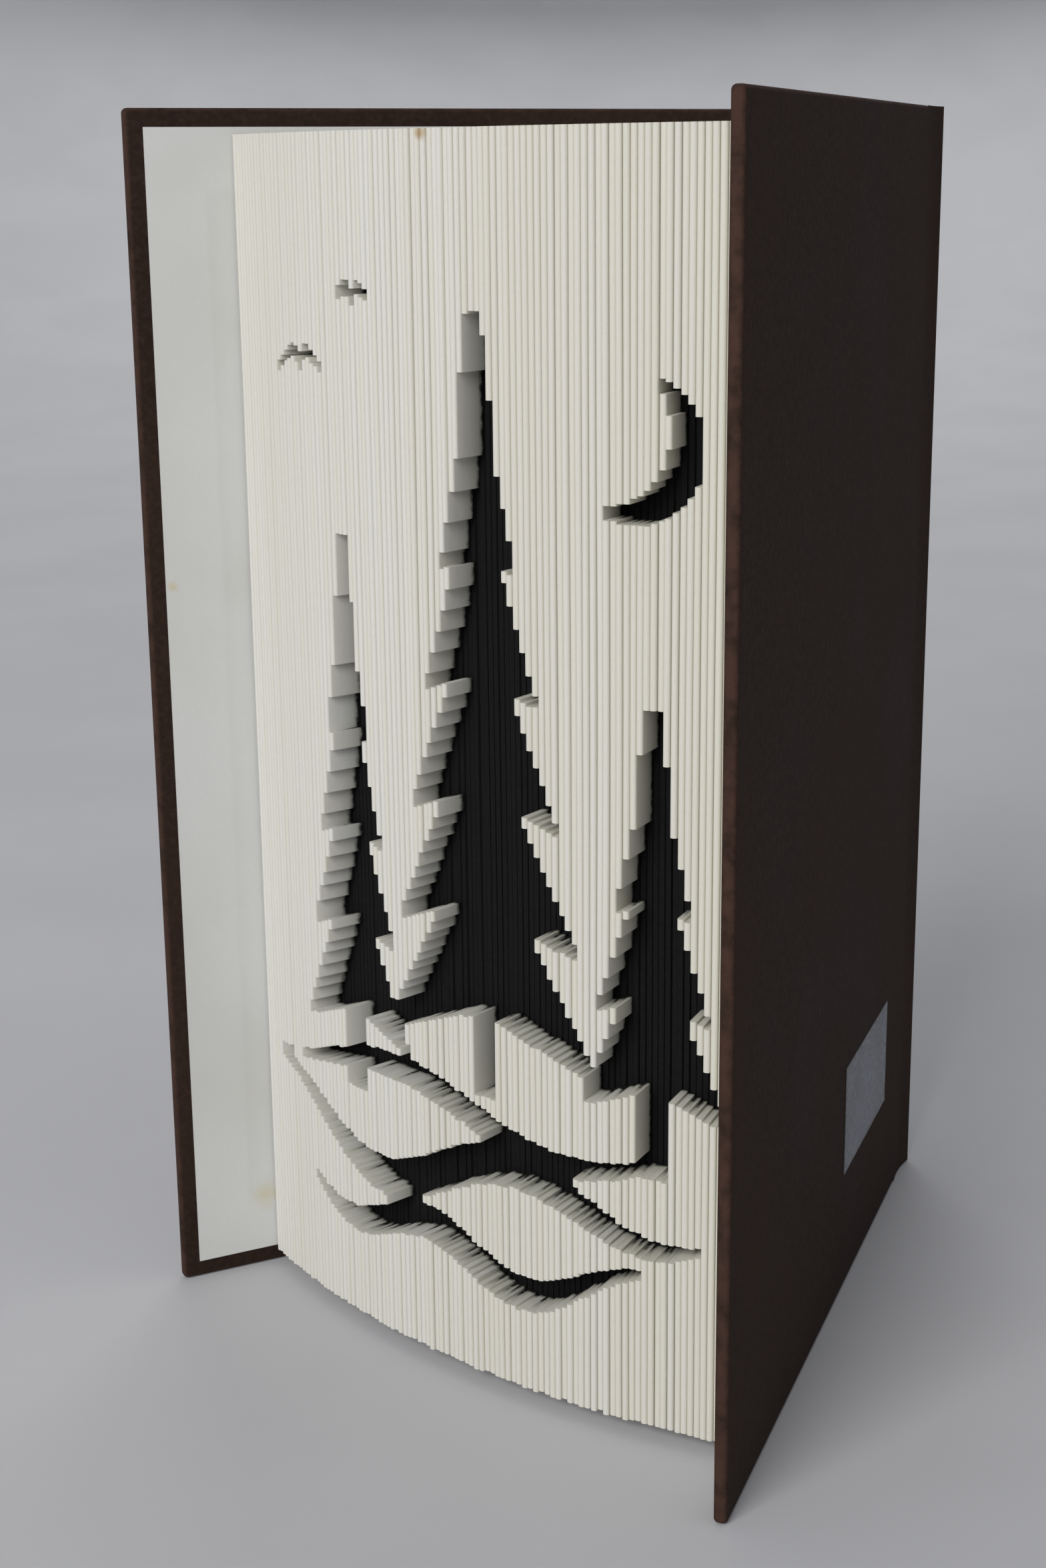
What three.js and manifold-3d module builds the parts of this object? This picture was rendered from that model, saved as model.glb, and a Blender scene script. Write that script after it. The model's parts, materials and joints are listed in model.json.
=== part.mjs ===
// A clothbound hardback book that stands half open on the tail edges of its covers.
// Its leaves are folded in at the fore-edge and fan out from the spine, and a relief is cut into their tips.
// Millimetres, +Z up. The fore-edge faces -Y, the spine faces +Y, and the front cover is at -X.
import * as THREE from 'three';
import { mergeVertices } from 'three/addons/utils/BufferGeometryUtils.js';
import Module from 'manifold-3d';

const wasm = await Module();
wasm.setup();

// The case: two covers and a spine
const COVER_HEIGHT = 240;
const COVER_WIDTH = 160; // from the hinge line to the fore-edge
const COVER_OPENING = THREE.MathUtils.degToRad(22); // of each cover from the middle of the book
const BOARD_THICKNESS = 1.7;
const JOINT_WIDTH = 10; // from the hinge line to the board
const CLOTH_THICKNESS = 0.35;
const TURN_IN = 15; // cloth folded over the inside of a board
const PASTEDOWN_THICKNESS = 0.2;
const PASTEDOWN_MARGIN = 3.5; // turn-in left showing round the pastedown
const EDGE_ROUNDING = 0.7;
const GLUE_GAP = 0.05; // between pieces that are glued together

// The text block
const BLOCK_THICKNESS = 18.6; // at the spine
const HEAD_SQUARE = 4.9; // how far the covers stand above the leaves
const TAIL_SQUARE = 2.7; // and below them
const LEAF_COUNT = 96;
const LEAF_LENGTH = 141; // from the spine to the folded fore-edge
const RIDGE_DEPTH = 0.9; // of the groove between two leaf tips
const CREST_SHARE = 0.5; // flat share of each leaf tip
const LEAF_CLEARANCE = 0.4; // between the outer leaf and the pastedown
const HINGE_DEPTH = 1.5; // hinge line in front of the block's spine

// The relief in the fore-edge. Its places are measured from the middle of the fan and from the leaves' tail.
const RELIEF_DEPTH = 7.5;
const RELIEF_MARGIN = 8; // uncut leaf at head and tail
const CUT_STEP = 0.5;
const SMALLEST_CUT = 2;
const SMALLEST_RIDGE = 1.5;
const KNIFE_OVERLAP = 0.04;
const TREES = [
  { centre: 9, foot: 74, tip: 202, spread: 27, tiers: 6 },
  { centre: -27, foot: 66, tip: 160, spread: 17, tiers: 5 },
  { centre: 45, foot: 66, tip: 136, spread: 15, tiers: 4 },
];
const BRANCH_DROOP = 0.35; // how far a branch's end hangs for each millimetre out
const TIER_WAIST = 0.4; // share of a tier's width left at its top
const TRUNK_HALF_WIDTH = 3;
const TRUNK_HEIGHT = 17;
const MOON = { centre: 41, height: 180, radius: 13, bite: 6 };
const BIRDS = [
  { centre: -39, height: 190, span: 8 },
  { centre: -22, height: 203, span: 6 },
];
const WING_RISE = 0.55; // of a bird's half span
const WING_THICKNESS = 3.2;
const HILLS = [
  { height: 55, swell: 5, length: 88, phase: 2.6, thickness: 6, reach: 56 },
  { height: 43, swell: 6, length: 70, phase: 0.3, thickness: 9, reach: 61 },
  { height: 27, swell: 4, length: 50, phase: 2.4, thickness: 8, reach: 50 },
];

// The spine of the case and the linings of the block
const SPINE_ROUNDING = 2; // how far the spine is arched
const SPINE_INLAY_THICKNESS = 0.8;
const SPINE_CLEARANCE = 0.3; // between the block's linings and the turned-in cloth at the spine's edge
const LINING_THICKNESS = 0.3;
const LINING_SIDE_MARGIN = 0.3;
const MULL_MARGIN = 15; // from the leaves' head and tail
const PAPER_LINING_MARGIN = 4;
const BAND_DIAMETER = 1.8;
const BAND_TAPE_THICKNESS = 0.2;
const BAND_TAPE_LENGTH = 9;
const BAND_SIDE_MARGIN = 0.5;
const JOINT_END_GAP = 0.3; // between the joint cloth and its neighbours
const GROOVE_DEPTH = 1.6;
const CURVE_STEPS = 12;

// A bare paper label on the outside of the back cover
const LABEL_WIDTH = 42;
const LABEL_HEIGHT = 23.5;
const LABEL_THICKNESS = 0.15;
const LABEL_FORE_EDGE_MARGIN = 92;
const LABEL_TAIL_MARGIN = 26.5;

// Worked out from the sizes above
const leafTail = TAIL_SQUARE;
const leafHead = COVER_HEIGHT - HEAD_SQUARE;
const halfBlock = BLOCK_THICKNESS / 2;
const leafShare = 2 / LEAF_COUNT; // of the fan, which runs from -1 to 1
const hingeX = halfBlock + HINGE_DEPTH * Math.tan(COVER_OPENING) + LEAF_CLEARANCE / Math.cos(COVER_OPENING);
const turnInLevel = PASTEDOWN_THICKNESS + GLUE_GAP;
const boardLevel = turnInLevel + CLOTH_THICKNESS + GLUE_GAP;
const clothLevel = boardLevel + BOARD_THICKNESS + GLUE_GAP;
const outerLevel = clothLevel + CLOTH_THICKNESS;
const clothEdge = CLOTH_THICKNESS + GLUE_GAP; // from the outside of the cloth to the board
const spineHalfWidth = halfBlock + outerLevel;
const spineRadius = (spineHalfWidth ** 2 + SPINE_ROUNDING ** 2) / (2 * SPINE_ROUNDING);
const spineHalfAngle = Math.asin(spineHalfWidth / spineRadius);
const mullLevel = GLUE_GAP;
const paperLevel = mullLevel + LINING_THICKNESS + GLUE_GAP;
const tapeLevel = paperLevel + LINING_THICKNESS + GLUE_GAP;
const spineEdgeLevel = paperLevel + LINING_THICKNESS + SPINE_CLEARANCE + clothEdge;
const spineCentreY = spineEdgeLevel + SPINE_ROUNDING - spineRadius;
const spineClothLevel = SPINE_INLAY_THICKNESS + GLUE_GAP;

const clothLook = () => new THREE.MeshStandardMaterial({ color: 0x3a2b26, roughness: 0.9, metalness: 0 });
const paperLook = () => new THREE.MeshStandardMaterial({ color: 0xdedbd0, roughness: 0.9, metalness: 0 });
const endpaperLook = () => new THREE.MeshStandardMaterial({ color: 0xd6d6d2, roughness: 0.9, metalness: 0 });
const boardLook = () => new THREE.MeshStandardMaterial({ color: 0x8f8676, roughness: 0.95, metalness: 0 });
const mullLook = () => new THREE.MeshStandardMaterial({ color: 0xcfc8b4, roughness: 0.95, metalness: 0 });
const bandLook = () => new THREE.MeshStandardMaterial({ color: 0xc9bd9c, roughness: 0.8, metalness: 0 });
const labelLook = () => new THREE.MeshStandardMaterial({ color: 0xc3cad2, roughness: 0.7, metalness: 0 });

const book = new THREE.Group();
book.name = 'book';

function addPiece(name, geometry, material) {
  const piece = new THREE.Mesh(geometry, material);
  piece.name = name;
  book.add(piece);
}

// Solids and booleans
function toSolid(geometry) {
  const bare = geometry.clone();
  bare.deleteAttribute('normal');
  bare.deleteAttribute('uv');
  const merged = mergeVertices(bare);
  return new wasm.Manifold(new wasm.Mesh({
    numProp: 3,
    vertProperties: new Float32Array(merged.attributes.position.array),
    triVerts: new Uint32Array(merged.index.array),
  }));
}

function toGeometry(solid) {
  const mesh = solid.getMesh();
  const geometry = new THREE.BufferGeometry();
  geometry.setAttribute('position', new THREE.BufferAttribute(mesh.vertProperties, 3));
  geometry.setIndex(new THREE.BufferAttribute(mesh.triVerts, 1));
  geometry.computeVertexNormals();
  return geometry;
}

function upright(outline, bottom, top) {
  const geometry = new THREE.ExtrudeGeometry(new THREE.Shape(outline), {
    depth: top - bottom,
    bevelEnabled: false,
  });
  return geometry.translate(0, 0, bottom);
}

// The text block: a point on the leaf at a share of the fan, at a distance from the spine
function leafPoint(share, distance) {
  const angle = share * COVER_OPENING;
  return new THREE.Vector2(share * halfBlock + distance * Math.sin(angle), -distance * Math.cos(angle));
}

function blockOutline() {
  const outline = [leafPoint(-1, 0)];
  const crestMargin = leafShare * (1 - CREST_SHARE) / 2;
  for (let leaf = 0; leaf < LEAF_COUNT; leaf += 1) {
    const start = leaf * leafShare - 1;
    outline.push(leafPoint(start, LEAF_LENGTH - RIDGE_DEPTH));
    outline.push(leafPoint(start + crestMargin, LEAF_LENGTH));
    outline.push(leafPoint(start + leafShare - crestMargin, LEAF_LENGTH));
  }
  outline.push(leafPoint(1, LEAF_LENGTH - RIDGE_DEPTH), leafPoint(1, 0));
  return outline;
}

function inTree(tree, across, height) {
  const off = Math.abs(across - tree.centre);
  const level = height + BRANCH_DROOP * off;
  if (level < tree.foot) return off < TRUNK_HALF_WIDTH && height > tree.foot - TRUNK_HEIGHT;
  if (level > tree.tip) return false;
  const tier = tree.tiers * (tree.tip - level) / (tree.tip - tree.foot);
  const within = tier - Math.floor(tier);
  const reach = tree.spread * (Math.floor(tier) + 1) / tree.tiers;
  return off < reach * (TIER_WAIST + (1 - TIER_WAIST) * within);
}

function inMoon(across, height) {
  const up = height - MOON.height;
  const full = Math.hypot(across - MOON.centre, up) < MOON.radius;
  const bitten = Math.hypot(across - MOON.centre + MOON.bite, up - MOON.bite / 2) < MOON.radius;
  return full && !bitten;
}

function inBird(bird, across, height) {
  const out = Math.abs(across - bird.centre) / bird.span;
  if (out > 1) return false;
  const wing = bird.height + bird.span * WING_RISE * Math.sin(Math.PI * Math.sqrt(out));
  return height < wing && height > wing - WING_THICKNESS * (1 - out / 2);
}

function inHill(hill, across, height) {
  const taper = 1 - (across / hill.reach) ** 2;
  if (taper <= 0) return false;
  const crest = hill.height + hill.swell * Math.sin(2 * Math.PI * across / hill.length + hill.phase);
  return height < crest && height > crest - hill.thickness * taper;
}

function isRecessed(across, height) {
  return TREES.some((tree) => inTree(tree, across, height))
    || BIRDS.some((bird) => inBird(bird, across, height))
    || HILLS.some((hill) => inHill(hill, across, height))
    || inMoon(across, height);
}

// The stretches of one leaf's tip, in height, that are cut back
function cutSpans(leaf) {
  const share = (leaf + 0.5) * leafShare - 1;
  const across = leafPoint(share, LEAF_LENGTH).x;
  const spans = [];
  const reliefHead = leafHead - leafTail - RELIEF_MARGIN;
  for (let height = RELIEF_MARGIN; height < reliefHead; height += CUT_STEP) {
    if (!isRecessed(across, height)) continue;
    const last = spans.at(-1);
    if (last && height - last.top < SMALLEST_RIDGE) last.top = height + CUT_STEP;
    else spans.push({ bottom: height, top: height + CUT_STEP });
  }
  return spans.filter((span) => span.top - span.bottom >= SMALLEST_CUT);
}

function leafCutters(leaf) {
  const start = leaf * leafShare - 1;
  const overlap = KNIFE_OVERLAP / (LEAF_LENGTH * COVER_OPENING);
  const shares = [start - overlap, start + leafShare + overlap];
  const outline = [
    leafPoint(shares[0], LEAF_LENGTH - RELIEF_DEPTH),
    leafPoint(shares[1], LEAF_LENGTH - RELIEF_DEPTH),
    leafPoint(shares[1], LEAF_LENGTH + RIDGE_DEPTH),
    leafPoint(shares[0], LEAF_LENGTH + RIDGE_DEPTH),
  ];
  return cutSpans(leaf).map((span) => toSolid(upright(outline, leafTail + span.bottom, leafTail + span.top)));
}

function textBlock() {
  const block = toSolid(upright(blockOutline(), leafTail, leafHead));
  const cutters = [];
  for (let leaf = 0; leaf < LEAF_COUNT; leaf += 1) cutters.push(...leafCutters(leaf));
  const relief = cutters.reduce((all, cutter) => all.add(cutter));
  return toGeometry(block.subtract(relief));
}

// The covers: a point at a distance along from the hinge line and out from the pastedown's face
function coverPoint(side, along, out) {
  const x = hingeX + along * Math.sin(COVER_OPENING) + out * Math.cos(COVER_OPENING);
  const y = -HINGE_DEPTH - along * Math.cos(COVER_OPENING) + out * Math.sin(COVER_OPENING);
  return new THREE.Vector2(side * x, y);
}

function coverSlab(side, alongs, outs, heights) {
  const outline = [
    coverPoint(side, alongs[0], outs[0]),
    coverPoint(side, alongs[1], outs[0]),
    coverPoint(side, alongs[1], outs[1]),
    coverPoint(side, alongs[0], outs[1]),
  ];
  return upright(outline, heights[0], heights[1]);
}

function wrappedOutline(side) {
  const outline = [coverPoint(side, JOINT_WIDTH, outerLevel), coverPoint(side, JOINT_WIDTH, turnInLevel)];
  const corners = [
    { out: turnInLevel + EDGE_ROUNDING, from: -Math.PI / 2 },
    { out: outerLevel - EDGE_ROUNDING, from: 0 },
  ];
  for (const corner of corners) {
    for (let step = 0; step <= 4; step += 1) {
      const angle = corner.from + step * Math.PI / 8;
      const along = COVER_WIDTH - EDGE_ROUNDING + EDGE_ROUNDING * Math.cos(angle);
      outline.push(coverPoint(side, along, corner.out + EDGE_ROUNDING * Math.sin(angle)));
    }
  }
  return outline;
}

function coverCloth(side) {
  const wrapped = toSolid(upright(wrappedOutline(side), 0, COVER_HEIGHT));
  const pocket = toSolid(coverSlab(
    side,
    [JOINT_WIDTH - 1, COVER_WIDTH - CLOTH_THICKNESS],
    [turnInLevel + CLOTH_THICKNESS, clothLevel],
    [CLOTH_THICKNESS, COVER_HEIGHT - CLOTH_THICKNESS],
  ));
  const window = toSolid(coverSlab(
    side,
    [JOINT_WIDTH - 1, COVER_WIDTH - TURN_IN],
    [0, boardLevel],
    [TURN_IN, COVER_HEIGHT - TURN_IN],
  ));
  return toGeometry(wrapped.subtract(pocket).subtract(window));
}

function coverBoard(side) {
  return coverSlab(
    side,
    [JOINT_WIDTH, COVER_WIDTH - clothEdge],
    [boardLevel, boardLevel + BOARD_THICKNESS],
    [clothEdge, COVER_HEIGHT - clothEdge],
  );
}

function pastedown(side) {
  return coverSlab(
    side,
    [JOINT_WIDTH, COVER_WIDTH - PASTEDOWN_MARGIN],
    [0, PASTEDOWN_THICKNESS],
    [PASTEDOWN_MARGIN, COVER_HEIGHT - PASTEDOWN_MARGIN],
  );
}

function label(side) {
  const along = COVER_WIDTH - LABEL_FORE_EDGE_MARGIN;
  const level = outerLevel + GLUE_GAP;
  return coverSlab(
    side,
    [along - LABEL_WIDTH, along],
    [level, level + LABEL_THICKNESS],
    [LABEL_TAIL_MARGIN, LABEL_TAIL_MARGIN + LABEL_HEIGHT],
  );
}

// The spine: a point at an angle round the arch and a level out from the inlay's inner face
function spinePoint(angle, level) {
  const radius = spineRadius + level;
  return new THREE.Vector2(radius * Math.sin(angle), spineCentreY + radius * Math.cos(angle));
}

function spineSheet(inner, outer, halfAngle, bottom, top) {
  const outline = [];
  for (let step = 0; step <= CURVE_STEPS; step += 1) {
    outline.push(spinePoint(halfAngle * (2 * step / CURVE_STEPS - 1), inner));
  }
  for (let step = CURVE_STEPS; step >= 0; step -= 1) {
    outline.push(spinePoint(halfAngle * (2 * step / CURVE_STEPS - 1), outer));
  }
  return upright(outline, bottom, top);
}

function spineInlay() {
  return spineSheet(0, SPINE_INLAY_THICKNESS, spineHalfAngle, clothEdge, COVER_HEIGHT - clothEdge);
}

function spineCloth() {
  const wide = spineHalfAngle * 1.1;
  const outer = spineClothLevel + CLOTH_THICKNESS;
  const wrapped = toSolid(spineSheet(-clothEdge, outer, spineHalfAngle, 0, COVER_HEIGHT));
  const pocket = toSolid(spineSheet(
    -GLUE_GAP,
    spineClothLevel,
    wide,
    CLOTH_THICKNESS,
    COVER_HEIGHT - CLOTH_THICKNESS,
  ));
  const window = toSolid(spineSheet(-2 * clothEdge, 0, wide, TURN_IN, COVER_HEIGHT - TURN_IN));
  return toGeometry(wrapped.subtract(pocket).subtract(window));
}

// The cloth across a joint sinks into the groove between the board and the spine
function jointCloth(side) {
  const middleLevel = spineClothLevel + CLOTH_THICKNESS / 2;
  const gapAngle = JOINT_END_GAP / spineRadius;
  const atSpine = spinePoint(spineHalfAngle + gapAngle, middleLevel);
  const atBoard = coverPoint(1, JOINT_WIDTH - JOINT_END_GAP, clothLevel + CLOTH_THICKNESS / 2);
  const chord = atSpine.clone().add(atBoard).divideScalar(2);
  const inward = new THREE.Vector2(-Math.cos(COVER_OPENING), -Math.sin(COVER_OPENING));
  const groove = chord.addScaledVector(inward, 2 * GROOVE_DEPTH);
  const curve = new THREE.QuadraticBezierCurve(atSpine, groove, atBoard);
  const outline = [];
  for (const face of [-1, 1]) {
    for (let step = 0; step <= CURVE_STEPS; step += 1) {
      const t = (face < 0 ? step : CURVE_STEPS - step) / CURVE_STEPS;
      const run = curve.getTangent(t);
      const point = curve.getPoint(t);
      point.x -= face * run.y * CLOTH_THICKNESS / 2;
      point.y += face * run.x * CLOTH_THICKNESS / 2;
      outline.push(new THREE.Vector2(side * point.x, point.y));
    }
  }
  return upright(outline, 0, COVER_HEIGHT);
}

// The linings glued to the block's spine
function lining(level, margin) {
  const halfWidth = halfBlock - LINING_SIDE_MARGIN;
  const outline = [
    new THREE.Vector2(-halfWidth, level),
    new THREE.Vector2(halfWidth, level),
    new THREE.Vector2(halfWidth, level + LINING_THICKNESS),
    new THREE.Vector2(-halfWidth, level + LINING_THICKNESS),
  ];
  return upright(outline, leafTail + margin, leafHead - margin);
}

// A band is a bead on the end of the leaves, with a tape glued down the spine. Up is 1 at the head, -1 at the tail.
function band(up) {
  const radius = BAND_DIAMETER / 2;
  const backFace = tapeLevel + BAND_TAPE_THICKNESS;
  const beadY = backFace - radius;
  const tapeAngle = Math.acos((tapeLevel - beadY) / radius);
  const shape = new THREE.Shape();
  shape.moveTo(tapeLevel, -BAND_TAPE_LENGTH);
  shape.lineTo(tapeLevel, radius + GLUE_GAP - radius * Math.sin(tapeAngle));
  shape.absarc(beadY, radius + GLUE_GAP, radius, -tapeAngle, -2 * Math.PI, true);
  shape.lineTo(backFace, -BAND_TAPE_LENGTH);
  const halfWidth = halfBlock - BAND_SIDE_MARGIN;
  const geometry = new THREE.ExtrudeGeometry(shape, {
    depth: 2 * halfWidth,
    bevelEnabled: false,
    curveSegments: CURVE_STEPS,
  });
  const acrossToX = new THREE.Matrix4().makeBasis(
    new THREE.Vector3(0, 1, 0),
    new THREE.Vector3(0, 0, 1),
    new THREE.Vector3(1, 0, 0),
  );
  geometry.translate(0, 0, -halfWidth).applyMatrix4(acrossToX);
  if (up < 0) geometry.rotateY(Math.PI);
  return geometry.translate(0, 0, up > 0 ? leafHead : leafTail);
}

// The book
addPiece('text_block', textBlock(), paperLook());
addPiece('spine_mull', lining(mullLevel, MULL_MARGIN), mullLook());
addPiece('spine_paper_lining', lining(paperLevel, PAPER_LINING_MARGIN), paperLook());
addPiece('headband', band(1), bandLook());
addPiece('tailband', band(-1), bandLook());
addPiece('spine_inlay', spineInlay(), boardLook());
addPiece('spine_cloth', spineCloth(), clothLook());
for (const [name, side] of [['front', -1], ['back', 1]]) {
  addPiece(`${name}_board`, coverBoard(side), boardLook());
  addPiece(`${name}_cover_cloth`, coverCloth(side), clothLook());
  addPiece(`${name}_pastedown`, pastedown(side), endpaperLook());
  addPiece(`${name}_joint_cloth`, jointCloth(side), clothLook());
}
addPiece('label', label(1), labelLook());

// The origin is the middle of the ground that the book covers
const extent = new THREE.Box3().setFromObject(book);
const middle = extent.getCenter(new THREE.Vector3());
book.position.set(-middle.x, -middle.y, -extent.min.z);

export default book;
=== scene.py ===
import json
import math

import bmesh
import bpy
import numpy as np
from mathutils import Matrix, Vector, noise


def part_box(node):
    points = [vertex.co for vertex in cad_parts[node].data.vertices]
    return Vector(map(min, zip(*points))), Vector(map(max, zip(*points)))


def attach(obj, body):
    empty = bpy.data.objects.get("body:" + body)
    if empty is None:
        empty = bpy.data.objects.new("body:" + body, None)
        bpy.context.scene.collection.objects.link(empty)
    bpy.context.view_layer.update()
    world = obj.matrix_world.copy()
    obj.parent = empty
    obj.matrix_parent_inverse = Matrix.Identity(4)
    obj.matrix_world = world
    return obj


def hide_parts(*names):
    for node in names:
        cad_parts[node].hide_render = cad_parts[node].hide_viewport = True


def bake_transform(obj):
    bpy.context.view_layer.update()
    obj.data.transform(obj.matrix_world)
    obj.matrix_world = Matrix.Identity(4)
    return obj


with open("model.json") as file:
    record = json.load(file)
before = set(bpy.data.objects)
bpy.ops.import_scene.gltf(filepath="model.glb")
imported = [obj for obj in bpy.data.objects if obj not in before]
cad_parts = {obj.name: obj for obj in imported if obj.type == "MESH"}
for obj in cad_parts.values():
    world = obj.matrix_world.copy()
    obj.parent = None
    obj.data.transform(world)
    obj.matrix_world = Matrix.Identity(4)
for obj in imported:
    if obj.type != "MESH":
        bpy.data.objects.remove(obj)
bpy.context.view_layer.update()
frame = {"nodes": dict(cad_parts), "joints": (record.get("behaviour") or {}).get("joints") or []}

# Lengths are in millimetres until a mesh is made, and angles are in radians
MM = 0.001

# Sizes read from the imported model
block_low, block_high = (Vector(corner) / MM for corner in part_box("text_block"))
COVER_HEIGHT = (Vector(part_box("front_cover_cloth")[1]) / MM).z
HINGE_X, HINGE_Y = (abs(value) / MM for value in frame["joints"][0]["pos_m"][:2])
LEAF_TAIL = block_low.z
LEAF_HEAD = block_high.z
LEAF_HEIGHT = LEAF_HEAD - LEAF_TAIL
SPINE_Y = block_high.y
LEAF_LENGTH = SPINE_Y - block_low.y

# Sizes of the covers
COVER_WIDTH = 160
COVER_OPENING = math.radians(22)
JOINT_WIDTH = 10
CLOTH_THICKNESS = 0.35
GLUE_GAP = 0.05
BOARD_THICKNESS = 1.7
TURN_IN = 15
EDGE_ROUNDING = 0.8
EDGE_STEPS = 4
CORNER_ROUNDING = 1
CORNER_STEPS = 5
KNIFE_OVERLAP = 1
TOLERANCE = 1  # within which two ends of an edge are at the same distance

# Sizes of the endpapers
PASTEDOWN_THICKNESS = 0.2
PASTEDOWN_MARGIN = 3.5
PASTEDOWN_SINK = 0.14  # inside the turned-in cloth
SINK_WIDTH = 2.5
SHEET_STEPS = (5, 8)  # along a pastedown and up it
RIDGE_STEPS = (-1.5, -1, -0.5, 0, 0.5, 1, 1.5)  # finer ones, about the edge of the turned-in cloth
SMALLEST_STEP = 0.3
FOLD_START = 0.6  # of the endpaper's fold, behind the hinge line

# Levels of a cover, outwards from the pastedown's inner face
TURN_IN_LEVEL = PASTEDOWN_THICKNESS + GLUE_GAP
BOARD_LEVEL = TURN_IN_LEVEL + CLOTH_THICKNESS + GLUE_GAP
CLOTH_LEVEL = BOARD_LEVEL + BOARD_THICKNESS + GLUE_GAP
OUTER_LEVEL = CLOTH_LEVEL + CLOTH_THICKNESS

# Sizes of the leaves
HALF_BLOCK = 9.3
LEAF_COUNT = 96
LEAF_SHARE = 2 / LEAF_COUNT
LEAF_FILL = 0.985  # of the space between two leaves that a leaf takes up
LEAF_LEVEL_STEP = 12
NEAREST_LEVEL = 1  # to the ends of a tip
TIP_DEPTH = 0.5
TIP_STEPS = 6
TIP_BLUNTNESS = 0.8
TIP_ROOT = 2  # how far behind its rounding a leaf has its last points

# How the leaves differ: a pair is for the front leaf and for the back leaf
LEAF_LOOSENESS = (0.01, 0.05)
TIP_SPREAD = (0.05, 0.4)
WAVE_REACH = (0.08, 0.23)
LEAF_TURN = 0.0003
TAIL_SPREAD = 0.5
SLOW_WAVE = dict(per_leaf=0.13, length=70, layer=1.5, turn=0.0011)
QUICK_WAVE = dict(per_leaf=0.9, length=45, layer=7.5, turn=0.00025)

# Sizes of the relief
RELIEF_DEPTH = 7.5
RELIEF_MARGIN = 8
CUT_STEP = 0.5
SMALLEST_CUT = 2
SMALLEST_RIDGE = 1.5
BACK_ROUNDING = 0.3
BACK_WIDTH = 0.8  # of a leaf's flat at the back of the relief, as a share of its width
INK_AND_SHADE_DEPTH = 1.6  # how far the mask for ink and painted shade runs from the back of the relief
INK_AND_SHADE_FADE = 0.3  # of that mask left there, which paints mostly shade and a little ink
END_ZONE = 1  # of the leaves' heads and tails, which take no ink and no painted shade

# The motifs: across from the middle of the fore-edge, and up from the leaves' tail
TREES = [
    dict(centre=9, foot=74, tip=202, spread=27, tiers=6),
    dict(centre=-27, foot=66, tip=160, spread=17, tiers=5),
    dict(centre=45, foot=66, tip=136, spread=15, tiers=4),
]
BRANCH_DROOP = 0.35
TIER_WAIST = 0.4
TRUNK_HALF_WIDTH = 3
TRUNK_HEIGHT = 17
MOON = dict(centre=41, height=180, radius=13, bite=6)
BIRDS = [dict(centre=-39, height=190, span=8), dict(centre=-22, height=203, span=6)]
WING_RISE = 0.55
WING_THICKNESS = 3.2
HILLS = [
    dict(height=55, swell=5, length=88, phase=2.6, thickness=6, reach=56),
    dict(height=43, swell=6, length=70, phase=0.3, thickness=9, reach=61),
    dict(height=27, swell=4, length=50, phase=2.4, thickness=8, reach=50),
]

# Sizes of the spine
SPINE_ROUNDING = 2
SPINE_INLAY_THICKNESS = 0.8
SPINE_EDGE_LEVEL = 1.4
SPINE_STEPS = 28
SPINE_ROWS = 16
LIP_STEPS = 8
SPINE_HALF_WIDTH = HALF_BLOCK + OUTER_LEVEL
SPINE_RADIUS = (SPINE_HALF_WIDTH**2 + SPINE_ROUNDING**2) / (2 * SPINE_ROUNDING)
SPINE_HALF_ANGLE = math.asin(SPINE_HALF_WIDTH / SPINE_RADIUS)
SPINE_CENTRE_Y = SPINE_Y + SPINE_EDGE_LEVEL + SPINE_ROUNDING - SPINE_RADIUS

# Sizes of the joints
GROOVE_DEPTH = 0.6
JOINT_END_GAP = 0.03
JOINT_STEPS = 24
JOINT_ROWS = 20

# Sizes of the label
LABEL_WIDTH = 42
LABEL_HEIGHT = 23.5
LABEL_THICKNESS = 0.15
LABEL_FORE_EDGE_MARGIN = 92
LABEL_TAIL_MARGIN = 26.5
LABEL_STEP = 1.5

# Widths of the worn rims of the spine's cloth and of the label
SPINE_WEAR_WIDTH = 1.2
LABEL_WEAR_WIDTH = 2

# Grains of the materials, as noise cycles in a metre
CLOTH_PATCHES = 22
CLOTH_SLUBS = 160
CLOTH_RUBS = 260
CLOTH_SPECKS = 900
PAPER_CLOUDS = 18
PAPER_BANDS = 26
PAPER_FIBRES = 1400
STAIN_EDGES = 300
INK_EDGES = 700
LINING_SPECKS = 500
BOARD_SPECKS = 700
LABEL_CLOUDS = 60
LABEL_SCUFFS = 420
FLOOR_CLOUDS = 9

# Distances between threads
CLOTH_THREAD = 0.42
MULL_THREAD = 1.1
BAND_THREAD = 0.7

# Depths of the materials' bumps
WEAVE_BUMP = 0.05
FIBRE_BUMP = 0.02
MULL_BUMP = 0.08
BOARD_BUMP = 0.04
BAND_BUMP = 0.12
LABEL_BUMP = 0.015

# Specular levels, below the shader's own 0.5
CLOTH_SHEEN = 0.12
LEAF_SHEEN = 0.25

# The floor: flat, then swept up into a wall
FLOOR_FLAT = 1500
FLOOR_SWEEP = 2100
FLOOR_WALL = 3500
FLOOR_SIDES = 96
FLOOR_STEPS = 12
FLOOR_DROP = 0.2

# The point that the lamps face, in metres
LAMP_TARGET = (0, 0, 0.1)


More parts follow.
